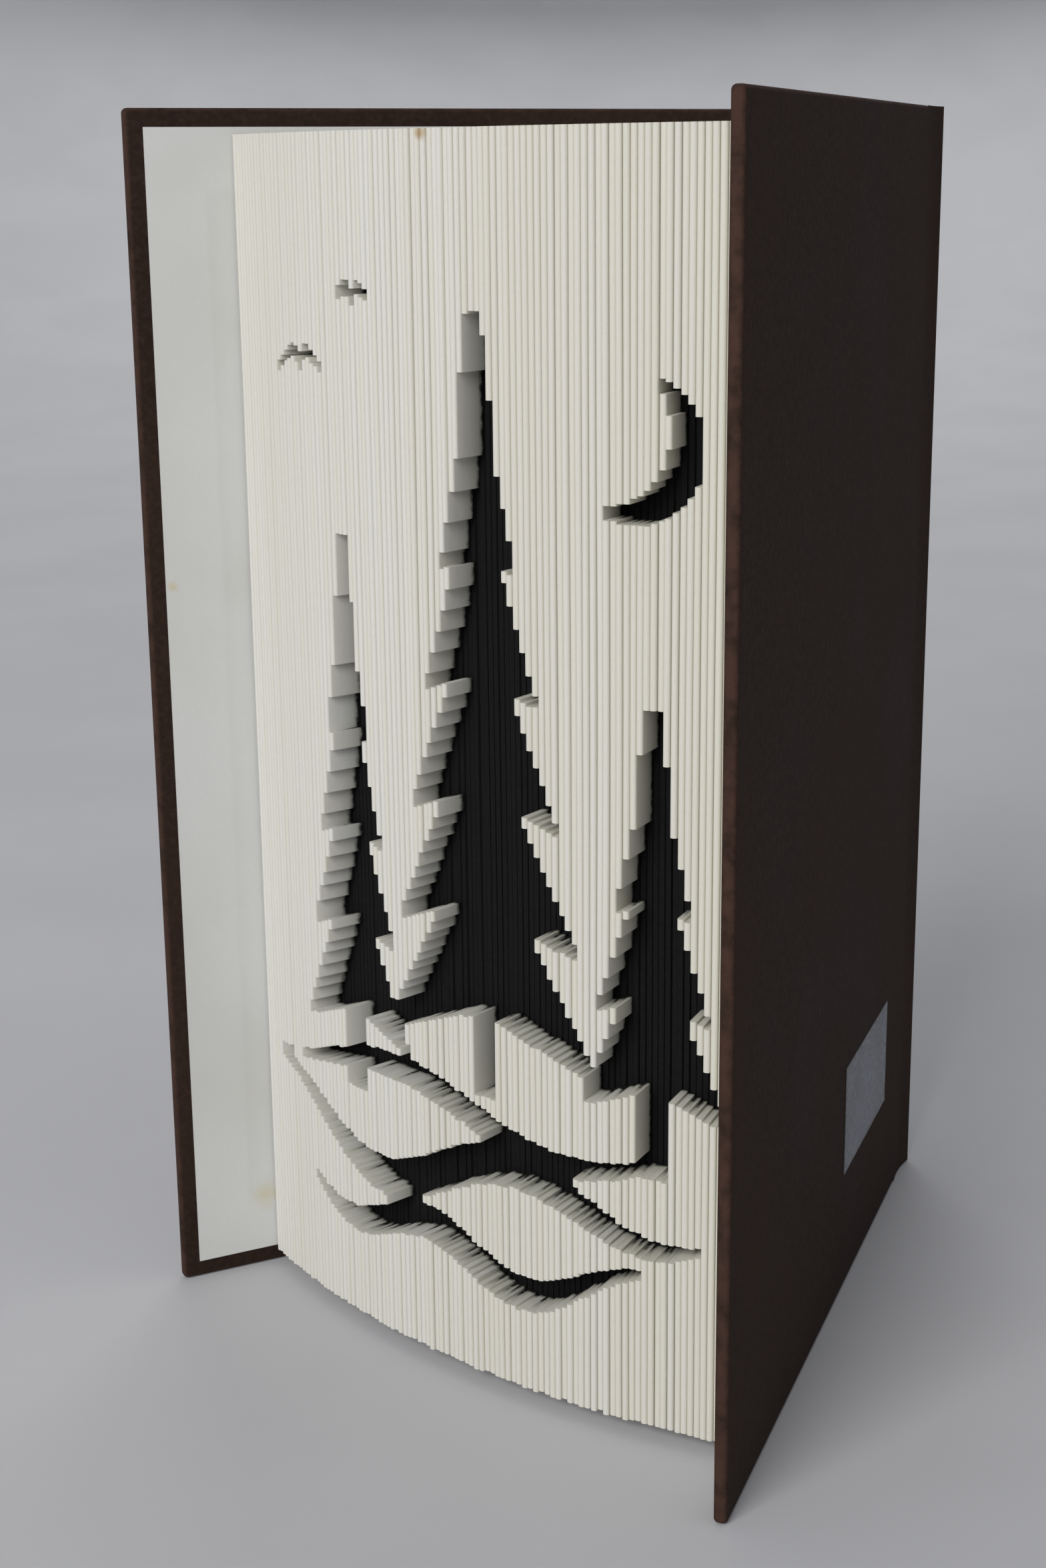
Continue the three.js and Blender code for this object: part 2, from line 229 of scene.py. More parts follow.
# The camera stands where the photograph was taken
def add_camera():
    place = Vector((285.1, -363.1, 227.9)) * MM
    azimuth, fall, roll = math.radians(-41.97), math.radians(14.85), math.radians(-0.61)
    flat_share = math.cos(fall)
    ahead = Vector((math.sin(azimuth) * flat_share, math.cos(azimuth) * flat_share, -math.sin(fall)))
    level = Vector((math.cos(azimuth), -math.sin(azimuth), 0))
    upward = level.cross(ahead)
    right = level * math.cos(roll) + upward * math.sin(roll)
    up = upward * math.cos(roll) - level * math.sin(roll)
    turn = Matrix((right, up, -ahead)).transposed().to_4x4()
    lens = bpy.data.cameras.new("camera")
    lens.sensor_fit = "AUTO"
    lens.sensor_width = 36
    lens.lens = 53.13
    camera = bpy.data.objects.new("camera", lens)
    bpy.context.scene.collection.objects.link(camera)
    camera.matrix_world = Matrix.Translation(place) @ turn
    bpy.context.scene.camera = camera


add_camera()


# Material nodes are made through one small helper
class Look:
    def __init__(self, name, roughness):
        self.material = bpy.data.materials.new(name)
        self.material.use_nodes = True
        self.nodes = self.material.node_tree.nodes
        self.links = self.material.node_tree.links
        self.shader = self.nodes["Principled BSDF"]
        self.shader.inputs["Roughness"].default_value = roughness
        self.place = self.add("ShaderNodeTexCoord").outputs["Object"]

    def add(self, kind, inputs=(), **settings):
        node = self.nodes.new(kind)
        for key, value in settings.items():
            setattr(node, key, value)
        for key, value in dict(inputs).items():
            self.join(value, node.inputs[key])
        return node

    def join(self, value, socket):
        if isinstance(value, bpy.types.NodeSocket):
            self.links.new(value, socket)
        else:
            socket.default_value = value

    def attribute(self, name):
        return self.add("ShaderNodeAttribute", attribute_name=name).outputs["Fac"]

    def along(self, axis):
        return self.add("ShaderNodeSeparateXYZ", {0: self.place}).outputs[axis]

    def maths(self, operation, first, second=0.0, third=0.0, clamp=False):
        inputs = {0: first, 1: second, 2: third}
        return self.add("ShaderNodeMath", inputs, operation=operation, use_clamp=clamp).outputs[0]

    # A wave with one crest and one trough in each length
    def wave(self, value, length):
        return self.maths("SINE", self.maths("MULTIPLY", value, 2 * math.pi / (length * MM)))

    def stretched(self, scale, turn=(0, 0, 0)):
        inputs = {"Vector": self.place, "Scale": scale, "Rotation": turn}
        return self.add("ShaderNodeMapping", inputs).outputs[0]

    def noise(self, scale, detail=2.0, vector=None):
        inputs = {"Vector": vector or self.place, "Scale": scale, "Detail": detail}
        return self.add("ShaderNodeTexNoise", inputs).outputs["Fac"]

    # A value between low and high becomes one between to_low and to_high, with soft ends
    def spread(self, value, low, high, to_low=0.0, to_high=1.0):
        inputs = {0: value, 1: low, 2: high, 3: to_low, 4: to_high}
        return self.add("ShaderNodeMapRange", inputs, interpolation_type="SMOOTHSTEP").outputs[0]

    def mix(self, share, first, second):
        node = self.nodes.new("ShaderNodeMix")
        node.data_type = "RGBA"
        inputs = {"Factor": (share, "VALUE"), "A": (first, "RGBA"), "B": (second, "RGBA")}
        for socket in node.inputs:
            value, kind = inputs.get(socket.name, (None, None))
            if socket.type == kind:
                self.join(value, socket)
        return next(output for output in node.outputs if output.type == "RGBA")

    def colour(self, value):
        self.join(value, self.shader.inputs["Base Color"])

    def roughness(self, value):
        self.join(value, self.shader.inputs["Roughness"])

    def sheen(self, level):
        self.shader.inputs["Specular IOR Level"].default_value = level

    def bump(self, height, depth, strength):
        inputs = {"Height": height, "Distance": depth * MM, "Strength": strength}
        self.join(self.add("ShaderNodeBump", inputs).outputs[0], self.shader.inputs["Normal"])


# A colour is written with parts from 0 to 255, as in a picture file, and a shader takes linear ones
def shade(red, green, blue):
    return (*(linear_part(part / 255) for part in (red, green, blue)), 1)


def linear_part(part):
    if part <= 0.04045:
        return part / 12.92
    return ((part + 0.055) / 1.055) ** 2.4


# Woven book cloth: threads, uneven colour, and rubbing where an attribute says so
def cloth_look(name, turn):
    dark, light = shade(42, 30, 24), shade(51, 38, 31)
    fluff, rubbed = shade(64, 48, 40), shade(82, 58, 50)
    look = Look(name, 0.82)
    threads = look.add("ShaderNodeSeparateXYZ", {0: look.stretched((1, 1, 1), (0, 0, turn))})
    warp = look.wave(threads.outputs[1], CLOTH_THREAD)
    weft = look.wave(threads.outputs[2], CLOTH_THREAD)
    weave = look.maths("MULTIPLY", warp, weft)
    slubs = look.noise(CLOTH_SLUBS, 3, look.stretched((1, 1, 6)))
    lift = look.maths("MULTIPLY_ADD", slubs, 0.9, weave)
    patches = look.noise(CLOTH_PATCHES, 4)
    specks = look.noise(CLOTH_SPECKS, 2)
    base = look.mix(look.spread(patches, 0.35, 0.7), dark, light)
    base = look.mix(look.spread(specks, 0.35, 0.75, 0, 0.5), base, fluff)
    ragged = look.spread(look.noise(CLOTH_RUBS, 4), 0.3, 0.62)
    worn = look.maths("MULTIPLY", look.attribute("wear"), ragged, clamp=True)
    look.colour(look.mix(look.maths("MULTIPLY", worn, 0.6), base, rubbed))
    look.roughness(look.spread(patches, 0.3, 0.7, 0.74, 0.88))
    look.bump(lift, WEAVE_BUMP, 0.7)
    look.sheen(CLOTH_SHEEN)
    return look.material


# A soft round stain about a point of the object
def add_stain(look, base, stain):
    size = stain["size"] * MM
    ragged = look.maths("MULTIPLY_ADD", look.noise(STAIN_EDGES, 3), size, -size / 2)
    points = {0: look.place, 1: Vector(stain["place"]) * MM}
    away = look.add("ShaderNodeVectorMath", points, operation="DISTANCE").outputs["Value"]
    edge = look.maths("ADD", away, ragged)
    return look.mix(look.spread(edge, 0, size, stain["strength"], 0), base, stain["colour"])


# Endpaper: nearly white and a little cloudy, with two yellow stains inside the front cover
def endpaper_look():
    light, dark, yellow = shade(221, 222, 220), shade(213, 213, 209), shade(205, 190, 135)
    low_place = (*cover_point(-1, COVER_WIDTH - 19, 0), 16)
    high_place = (*cover_point(-1, COVER_WIDTH - 5, 0), 149)
    look = Look("endpaper", 0.88)
    fibres = look.noise(PAPER_FIBRES, 2)
    base = look.mix(look.spread(look.noise(PAPER_CLOUDS, 4), 0.35, 0.68), light, dark)
    base = look.mix(look.spread(fibres, 0.4, 0.75, 0, 0.25), base, dark)
    base = add_stain(look, base, dict(place=low_place, size=4.5, colour=yellow, strength=0.45))
    base = add_stain(look, base, dict(place=high_place, size=1.6, colour=yellow, strength=0.5))
    look.colour(base)
    look.roughness(look.spread(fibres, 0.3, 0.7, 0.84, 0.93))
    look.bump(fibres, FIBRE_BUMP, 0.5)
    return look.material


# Leaf paper: nearly white to cream from leaf to leaf and more cream towards the back leaves as painted
# shade, yellow painted shade towards the sides of the tips, one brown stain at the head, and black ink
# in the relief, with painted grey shade in front of it
def leaf_look():
    white, cream, band = shade(225, 225, 221), shade(221, 218, 205), shade(217, 214, 202)
    yellow, speck = shade(203, 198, 177), shade(209, 206, 195)
    brown, painted_shade_grey, black = shade(176, 143, 88), shade(128, 130, 116), shade(11, 11, 12)
    head_place = (-2.2, block_low.y, LEAF_HEAD - 0.8)
    look = Look("leaf_paper", 0.88)
    ink_and_shade = look.attribute("ink_and_shade")
    bands = look.noise(PAPER_BANDS, 4, look.stretched((1, 1, 0.12)))
    fibres = look.noise(PAPER_FIBRES, 2)
    # Tone: half at random from leaf to leaf, half painted shade that grows towards the back leaves
    base = look.mix(look.attribute("tone"), white, cream)
    base = look.mix(look.spread(bands, 0.38, 0.66, 0, 0.45), base, band)
    # Painted shade: yellow towards the sides of each rounded tip, where it meets the next leaf
    base = look.mix(look.maths("MULTIPLY", look.attribute("edge"), 0.3), base, yellow)
    base = look.mix(look.spread(fibres, 0.45, 0.75, 0, 0.15), base, speck)
    # Painted shade: grey on the relief's walls, deepest towards the back of the relief
    base = look.mix(look.spread(ink_and_shade, 0, 0.5, 0, 0.55), base, painted_shade_grey)
    base = add_stain(look, base, dict(place=head_place, size=1.6, colour=brown, strength=0.8))
    bleed = look.maths("ADD", ink_and_shade, look.maths("MULTIPLY_ADD", look.noise(INK_EDGES, 3), 0.5, -0.25))
    look.colour(look.mix(look.spread(bleed, 0.35, 0.75), base, black))
    look.roughness(look.spread(fibres, 0.3, 0.7, 0.84, 0.93))
    look.sheen(LEAF_SHEEN)
    look.bump(fibres, FIBRE_BUMP, 0.4)
    return look.material


# Mull: an open weave, with a thread at each half wave
def mull_look():
    light, dark = shade(214, 206, 184), shade(168, 157, 131)
    look = Look("mull", 0.95)
    threads = [look.maths("ABSOLUTE", look.wave(look.along(axis), 2 * MULL_THREAD)) for axis in (0, 2)]
    openness = look.maths("MINIMUM", *threads)
    look.colour(look.mix(look.spread(openness, 0.35, 0.6), light, dark))
    look.bump(openness, -MULL_BUMP, 0.8)
    return look.material


# Board and lining paper: specks of two tones
def fibre_look(name, light, dark, grain):
    look = Look(name, 0.93)
    specks = look.noise(grain, 4)
    look.colour(look.mix(look.spread(specks, 0.35, 0.7), light, dark))
    look.roughness(look.spread(specks, 0.3, 0.7, 0.88, 0.97))
    look.bump(specks, BOARD_BUMP, 0.6)
    return look.material


# The bands: cotton thread wound side by side
def band_look():
    dark, light = shade(178, 160, 122), shade(214, 201, 168)
    look = Look("band_cotton", 0.7)
    turns = look.wave(look.along(0), BAND_THREAD)
    look.colour(look.mix(look.spread(turns, -0.6, 0.6), dark, light))
    look.bump(turns, BAND_BUMP, 0.8)
    return look.material


# The label: smooth blue-grey paper, scuffed towards its rim
def label_look():
    light, dark, rubbed = shade(121, 125, 133), shade(111, 115, 122), shade(104, 103, 102)
    look = Look("label_paper", 0.5)
    scuffs = look.noise(LABEL_SCUFFS, 4, look.stretched((1, 1, 3)))
    base = look.mix(look.spread(look.noise(LABEL_CLOUDS, 4), 0.35, 0.7), light, dark)
    ragged = look.spread(scuffs, 0.35, 0.65)
    worn = look.maths("MULTIPLY", look.attribute("wear"), ragged, clamp=True)
    look.colour(look.mix(worn, base, rubbed))
    look.roughness(look.spread(scuffs, 0.3, 0.7, 0.42, 0.62))
    look.bump(scuffs, LABEL_BUMP, 0.5)
    return look.material


# Meshes are made from points in millimetres
def add_piece(name, points, faces, materials, smooth_to=35):
    mesh = bpy.data.meshes.new(name)
    mesh.from_pydata([tuple(part * MM for part in point) for point in points], [], faces)
    for material in materials:
        mesh.materials.append(material)
    mesh.validate()
    piece = bpy.data.objects.new(name, mesh)
    bpy.context.scene.collection.objects.link(piece)
    smooth_faces(mesh, smooth_to)
    return piece


def smooth_faces(mesh, smooth_to):
    mesh.shade_smooth()
    mesh.set_sharp_from_angle(angle=math.radians(smooth_to))


def face_outwards(piece):
    shape = bmesh.new()
    shape.from_mesh(piece.data)
    bmesh.ops.recalc_face_normals(shape, faces=shape.faces)
    shape.to_mesh(piece.data)
    shape.free()


def set_attribute(piece, name, values):
    attribute = piece.data.attributes.new(name, "FLOAT", "POINT")
    attribute.data.foreach_set("value", np.asarray(values, np.float32))


# Side faces between rows of points that each go once round a ring, and a face at each end
def lofted_faces(count, rows):
    faces = []
    for row in range(rows):
        low = row * count
        for index in range(count):
            after = (index + 1) % count
            faces.append((low + index, low + after, low + count + after, low + count + index))
    faces.append(tuple(range(count))[::-1])
    faces.append(tuple(range(rows * count, rows * count + count)))
    return faces


# A piece takes a node's place on its body
def carry(piece, body, node):
    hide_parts(node)
    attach(piece, body)


def between(ends, share):
    return ends[0] + (ends[1] - ends[0]) * share


def smooth(share):
    share = min(1, max(0, share))
    return share * share * (3 - 2 * share)


# Directions in plan at an angle from the middle of the book: ahead to the fore-edge, and sideways
def leaf_axes(angle):
    return (math.sin(angle), -math.cos(angle)), (math.cos(angle), math.sin(angle))


# A point in plan of a cover: along from the hinge line, and out from the pastedown's inner face
def cover_point(side, along, out):
    x = HINGE_X + along * math.sin(COVER_OPENING) + out * math.cos(COVER_OPENING)
    y = HINGE_Y - along * math.cos(COVER_OPENING) + out * math.sin(COVER_OPENING)
    return side * x, y


# The other way round: how far along and out a point lies
def cover_distance(side, point):
    x, y = side * point[0] - HINGE_X, point[1] - HINGE_Y
    along = x * math.sin(COVER_OPENING) - y * math.cos(COVER_OPENING)
    out = x * math.cos(COVER_OPENING) + y * math.sin(COVER_OPENING)
    return along, out


def spine_point(angle, level):
    radius = SPINE_RADIUS + level
    return radius * math.sin(angle), SPINE_CENTRE_Y + radius * math.cos(angle)


# The relief: True where a motif is cut back into the leaf tips
def in_tree(tree, across, height):
    off = abs(across - tree["centre"])
    level = height + BRANCH_DROOP * off
    if level < tree["foot"]:
        return off < TRUNK_HALF_WIDTH and height > tree["foot"] - TRUNK_HEIGHT
    if level > tree["tip"]:
        return False
    tier = tree["tiers"] * (tree["tip"] - level) / (tree["tip"] - tree["foot"])
    reach = tree["spread"] * (math.floor(tier) + 1) / tree["tiers"]
    return off < reach * (TIER_WAIST + (1 - TIER_WAIST) * (tier - math.floor(tier)))


def in_moon(across, height):
    aside = across - MOON["centre"]
    up = height - MOON["height"]
    full = math.hypot(aside, up) < MOON["radius"]
    bitten = math.hypot(aside + MOON["bite"], up - MOON["bite"] / 2) < MOON["radius"]
    return full and not bitten


def in_bird(bird, across, height):
    out = abs(across - bird["centre"]) / bird["span"]
    if out > 1:
        return False
    wing = bird["height"] + bird["span"] * WING_RISE * math.sin(math.pi * math.sqrt(out))
    return wing - WING_THICKNESS * (1 - out / 2) < height < wing


def in_hill(hill, across, height):
    taper = 1 - (across / hill["reach"]) ** 2
    if taper <= 0:
        return False
    turn = 2 * math.pi * across / hill["length"] + hill["phase"]
    crest = hill["height"] + hill["swell"] * math.sin(turn)
    return crest - hill["thickness"] * taper < height < crest


def is_recessed(across, height):
    return (
        any(in_tree(tree, across, height) for tree in TREES)
        or any(in_bird(bird, across, height) for bird in BIRDS)
        or any(in_hill(hill, across, height) for hill in HILLS)
        or in_moon(across, height)
    )


# The heights between which one leaf is cut
def cut_spans(leaf):
    share = (leaf + 0.5) * LEAF_SHARE - 1
    across = share * HALF_BLOCK + LEAF_LENGTH * math.sin(share * COVER_OPENING)
    spans = []
    steps = round((LEAF_HEIGHT - 2 * RELIEF_MARGIN) / CUT_STEP)
    for step in range(steps):
        height = RELIEF_MARGIN + step * CUT_STEP
        if not is_recessed(across, height):
            continue
        if spans and height - spans[-1][1] < SMALLEST_RIDGE:
            spans[-1][1] = height + CUT_STEP
        else:
            spans.append([height, height + CUT_STEP])
    return [span for span in spans if span[1] - span[0] >= SMALLEST_CUT]


def wave_at(wave, leaf, height):
    return noise.noise(Vector((leaf * wave["per_leaf"], height / wave["length"], wave["layer"])))


# One leaf is a body that ends at the back of the relief, and a rounded tip on each stretch that isn't
# cut. A ring goes round a leaf in plan: out from the spine, side from -1 to 1, a mask for ink and
# painted shade in the relief, and a mask for painted shade at the tip's sides.
class Leaves:
    def __init__(self):
        self.points = []
        self.faces = []
        self.tone = []
        self.edge = []
        self.ink_and_shade = []
        self.random = np.random.default_rng(7)

    def level_points(self, leaf, height, ring):
        slow, quick = (wave_at(wave, leaf["index"], height) for wave in (SLOW_WAVE, QUICK_WAVE))
        angle = leaf["angle"] + SLOW_WAVE["turn"] * slow + QUICK_WAVE["turn"] * quick
        (ahead_x, ahead_y), (side_x, side_y) = leaf_axes(angle)
        reach = leaf["reach"] + leaf["wave_reach"] * quick
        middle = LEAF_LENGTH / 2
        for out, side, ink_and_shade, edge in ring:
            distance = out + reach * max(0, out - middle) / middle
            half = leaf["half"] + leaf["spread"] * distance
            x = leaf["start"] + distance * ahead_x + side * half * side_x
            y = SPINE_Y + distance * ahead_y + side * half * side_y
            self.points.append((x, y, LEAF_TAIL + max(height, leaf["tail"])))
            self.tone.append(leaf["tone"])
            self.ink_and_shade.append(0 if side == leaf["outer_side"] else ink_and_shade)
            self.edge.append(edge)

    def add_shell(self, leaf, heights, ring):
        first = len(self.points)
        for height in heights:
            self.level_points(leaf, height, ring)
        for face in lofted_faces(len(ring), len(heights) - 1):
            self.faces.append(tuple(first + index for index in face))

    def add_leaf(self, index):
        share = (index + 0.5) * LEAF_SHARE - 1
        to_back = (share + 1) / 2
        looseness = between(LEAF_LOOSENESS, to_back)
        outer_side = {0: -1, LEAF_COUNT - 1: 1}.get(index)
        leaf = dict(
            index=index,
            angle=share * COVER_OPENING + self.random.normal(0, LEAF_TURN),
            start=share * HALF_BLOCK,
            half=HALF_BLOCK / LEAF_COUNT * LEAF_FILL,
            spread=COVER_OPENING / LEAF_COUNT * LEAF_FILL * (1 - looseness * self.random.uniform(0, 1)),
            reach=-abs(self.random.normal(0, between(TIP_SPREAD, to_back))),
            wave_reach=between(WAVE_REACH, to_back),
            tail=self.random.uniform(0, TAIL_SPREAD),
            outer_side=outer_side,
            # Half of the tone is random and half is painted shade, which grows towards the back leaves
            tone=0.5 * self.random.uniform(0, 1) + 0.5 * to_back,
        )
        if outer_side:
            leaf["angle"] = share * COVER_OPENING
        steps = round(LEAF_HEIGHT / LEAF_LEVEL_STEP)
        even = [LEAF_HEIGHT * step / steps for step in range(steps + 1)]
        self.add_shell(leaf, even, body_ring())
        ends = [0] + [value for span in cut_spans(index) for value in span] + [LEAF_HEIGHT]
        for low, high in zip(ends[::2], ends[1::2]):
            inner = [level for level in even if low + NEAREST_LEVEL < level < high - NEAREST_LEVEL]
            self.add_shell(leaf, [low, *inner, high], tip_ring())


def body_ring():
    back = LEAF_LENGTH - RELIEF_DEPTH
    outs = [(0, 0), (back / 2, 0), (back - INK_AND_SHADE_DEPTH, 0), (back - BACK_ROUNDING, 1)]
    ring = [(out, 1, ink_and_shade, 0) for out, ink_and_shade in outs]
    ring += [(back, side, 1, 0) for side in (BACK_WIDTH, -BACK_WIDTH)]
    return ring + [(out, -1, ink_and_shade, 0) for out, ink_and_shade in reversed(outs)]


def tip_ring():
    back = LEAF_LENGTH - RELIEF_DEPTH
    nose = LEAF_LENGTH - TIP_DEPTH
    # Along a tip's flanks the mask falls from ink at the back of the relief to painted shade, then to
    # nothing near the nose
    outs = [(back - BACK_ROUNDING, 1), (back + INK_AND_SHADE_DEPTH, INK_AND_SHADE_FADE), (nose - TIP_ROOT, 0)]
    ring = [(out, 1, ink_and_shade, 0) for out, ink_and_shade in outs]
    for step in range(TIP_STEPS + 1):
        angle = math.pi * step / TIP_STEPS
        side = math.cos(angle)
        # The last value masks painted shade, strongest at the sides of the rounded tip
        ring.append((nose + TIP_DEPTH * math.sin(angle) ** TIP_BLUNTNESS, side, 0, 0.9 * side**2))
    return ring + [(out, -1, ink_and_shade, 0) for out, ink_and_shade in reversed(outs)]


# The ink and the painted shade lie in the relief, and never on the leaves' heads and tails
def set_ink_and_shade(piece, ink_and_shade):
    mesh = piece.data
    values = np.zeros(len(mesh.loops), np.float32)
    for face in mesh.polygons:
        height = face.center.z / MM - LEAF_TAIL
        at_end = height < END_ZONE or height > LEAF_HEIGHT - END_ZONE
        is_level = abs(face.normal.z) > 0.9
        if at_end and is_level:
            continue
        for loop in face.loop_indices:
            values[loop] = ink_and_shade[mesh.loops[loop].vertex_index]
    attribute = mesh.attributes.new("ink_and_shade", "FLOAT", "CORNER")
    attribute.data.foreach_set("value", values)


def add_leaves():
    leaves = Leaves()
    for index in range(LEAF_COUNT):
        leaves.add_leaf(index)
    piece = add_piece("folded_leaves", leaves.points, leaves.faces, [leaf_look()], 50)
    set_attribute(piece, "tone", leaves.tone)
    set_attribute(piece, "edge", leaves.edge)
    face_outwards(piece)
    set_ink_and_shade(piece, leaves.ink_and_shade)
    carry(piece, "block", "text_block")


# A slab of a cover: a box in the cover's own directions, along, out and up
def cover_box(name, side, alongs, outs, heights):
    corners = [(along, out, height) for height in heights for out in outs for along in alongs]
    points = [(*cover_point(side, along, out), height) for along, out, height in corners]
    faces = [(0, 1, 3, 2), (4, 6, 7, 5), (0, 4, 5, 1), (2, 3, 7, 6), (0, 2, 6, 4), (1, 5, 7, 3)]
    piece = add_piece(name, points, faces, [])
    face_outwards(piece)
    return piece


def round_edges(piece, pick, width, steps):
    shape = bmesh.new()
    shape.from_mesh(piece.data)
    edges = [edge for edge in shape.edges if pick(edge.verts[0].co / MM, edge.verts[1].co / MM)]
    bmesh.ops.bevel(shape, geom=edges, offset=width * MM, segments=steps, profile=0.5, affect="EDGES")
    shape.to_mesh(piece.data)
    shape.free()


def cut_away(piece, knife):
    cut = piece.modifiers.new("cut", "BOOLEAN")
    cut.operation = "DIFFERENCE"
    cut.object = knife
    cut.solver = "EXACT"
    bpy.context.view_layer.update()
    result = bpy.data.meshes.new_from_object(piece.evaluated_get(bpy.context.evaluated_depsgraph_get()))
    piece.modifiers.clear()
    piece.data = result
    bpy.data.objects.remove(knife)


# The cloth is a rounded slab, less a pocket for the board and a window inside the turn-ins
def add_cover_cloth(name, side, body, node, material):
    # A corner edge runs through the cover's thickness at the fore-edge
    def is_corner(first, second):
        alongs = [cover_distance(side, point)[0] for point in (first, second)]
        at_fore_edge = min(alongs) > COVER_WIDTH - TOLERANCE
        is_level = abs(first.z - second.z) < TOLERANCE
        return at_fore_edge and is_level and abs(alongs[0] - alongs[1]) < TOLERANCE

    # A rim edge lies in one face of the cover, away from the joint
    def is_rim(first, second):
        alongs, outs = zip(*(cover_distance(side, point) for point in (first, second)))
        return abs(outs[0] - outs[1]) <= TOLERANCE and max(alongs) >= JOINT_WIDTH + TOLERANCE

    levels = (TURN_IN_LEVEL, OUTER_LEVEL)
    piece = cover_box(name, side, (JOINT_WIDTH, COVER_WIDTH), levels, (0, COVER_HEIGHT))
    joint_side = JOINT_WIDTH - KNIFE_OVERLAP
    pocket = cover_box(
        "pocket",
        side,
        (joint_side, COVER_WIDTH - CLOTH_THICKNESS),
        (TURN_IN_LEVEL + CLOTH_THICKNESS, CLOTH_LEVEL),
        (CLOTH_THICKNESS, COVER_HEIGHT - CLOTH_THICKNESS),
    )
    window = cover_box(
        "window",
        side,
        (joint_side, COVER_WIDTH - TURN_IN),
        (-KNIFE_OVERLAP, BOARD_LEVEL),
        (TURN_IN, COVER_HEIGHT - TURN_IN),
    )
    for slab, inset in ((piece, 0), (pocket, CLOTH_THICKNESS)):
        round_edges(slab, is_corner, CORNER_ROUNDING - inset, CORNER_STEPS)
        round_edges(slab, is_rim, EDGE_ROUNDING - inset, EDGE_STEPS)
    cut_away(piece, pocket)
    cut_away(piece, window)
    piece.data.name = name
    piece.data.materials.clear()
    piece.data.materials.append(material)
    face_outwards(piece)
    smooth_faces(piece.data, 40)
    wear = []
    for vertex in piece.data.vertices:
        along = cover_distance(side, vertex.co / MM)[0]
        height = vertex.co.z / MM
        rim = min(COVER_WIDTH - along, height, COVER_HEIGHT - height)
        wear.append(min(1, max(0, 1 - rim / EDGE_ROUNDING)))
    set_attribute(piece, "wear", wear)
    carry(piece, body, node)


# A pastedown sinks a little inside the turned-in cloth, so its edge shows through as a soft ridge
def add_pastedown(name, side, body, node, material):
    along_step, up_step = SHEET_STEPS
    fore_ridge = COVER_WIDTH - TURN_IN
    head_ridge = COVER_HEIGHT - TURN_IN
    head = COVER_HEIGHT - PASTEDOWN_MARGIN
    alongs = sheet_steps(JOINT_WIDTH, COVER_WIDTH - PASTEDOWN_MARGIN, along_step, fore_ridge)
    heights = sheet_steps(PASTEDOWN_MARGIN, head, up_step, TURN_IN, head_ridge)

    def sink(along, height):
        inside = min(fore_ridge - along, height - TURN_IN, head_ridge - height)
        return PASTEDOWN_SINK * smooth(inside / SINK_WIDTH)

    piece = add_sheet(name, side, alongs, heights, sink, PASTEDOWN_THICKNESS, material)
    carry(piece, body, node)


# Even steps from low to high, with finer ones about each ridge
def sheet_steps(low, high, step, *ridges):
    count = max(1, round((high - low) / step))
    values = [low + (high - low) * index / count for index in range(count + 1)]
    for ridge in ridges:
        values += [ridge + offset for offset in RIDGE_STEPS]
    values = sorted(value for value in values if low <= value <= high)
    kept = [values[0]]
    for value in values[1:]:
        if value - kept[-1] > SMALLEST_STEP:
            kept.append(value)
    kept[-1] = high
    return kept


# A thin sheet parallel to a cover, at the level that is worked out for each of its points
def add_sheet(name, side, alongs, heights, level, thickness, material):
    points, faces = [], []
    rows, columns = len(heights), len(alongs)
    for face in (0, thickness):
        for height in heights:
            for along in alongs:
                points.append((*cover_point(side, along, level(along, height) + face), height))
    half = rows * columns
    for row in range(rows - 1):
        for column in range(columns - 1):
            corner = row * columns + column
            quad = (corner, corner + 1, corner + columns + 1, corner + columns)
            faces.append(quad)
            faces.append(tuple(index + half for index in reversed(quad)))
    rim = list(range(columns))
    rim += [row * columns + columns - 1 for row in range(1, rows)]
    rim += [(rows - 1) * columns + column for column in range(columns - 2, -1, -1)]
    rim += [row * columns for row in range(rows - 2, 0, -1)]
    for index, point in enumerate(rim):
        after = rim[(index + 1) % len(rim)]
        faces.append((point, point + half, after + half, after))
    piece = add_piece(name, points, faces, [material])
    face_outwards(piece)
    return piece


def add_label():
    fore = COVER_WIDTH - LABEL_FORE_EDGE_MARGIN
    rear = fore - LABEL_WIDTH
    tail = LABEL_TAIL_MARGIN
    head = tail + LABEL_HEIGHT
    alongs = sheet_steps(rear, fore, LABEL_STEP)
    heights = sheet_steps(tail, head, LABEL_STEP)

    def level(along, height):
        return OUTER_LEVEL + GLUE_GAP

    piece = add_sheet("paper_label", 1, alongs, heights, level, LABEL_THICKNESS, label_look())
    wear = []
    for vertex in piece.data.vertices:
        along = cover_distance(1, vertex.co / MM)[0]
        height = vertex.co.z / MM
        rim = min(fore - along, along - rear, height - tail, head - height)
        wear.append(1 - smooth(rim / LABEL_WEAR_WIDTH))
    set_attribute(piece, "wear", wear)
    carry(piece, "back_cover", "label")


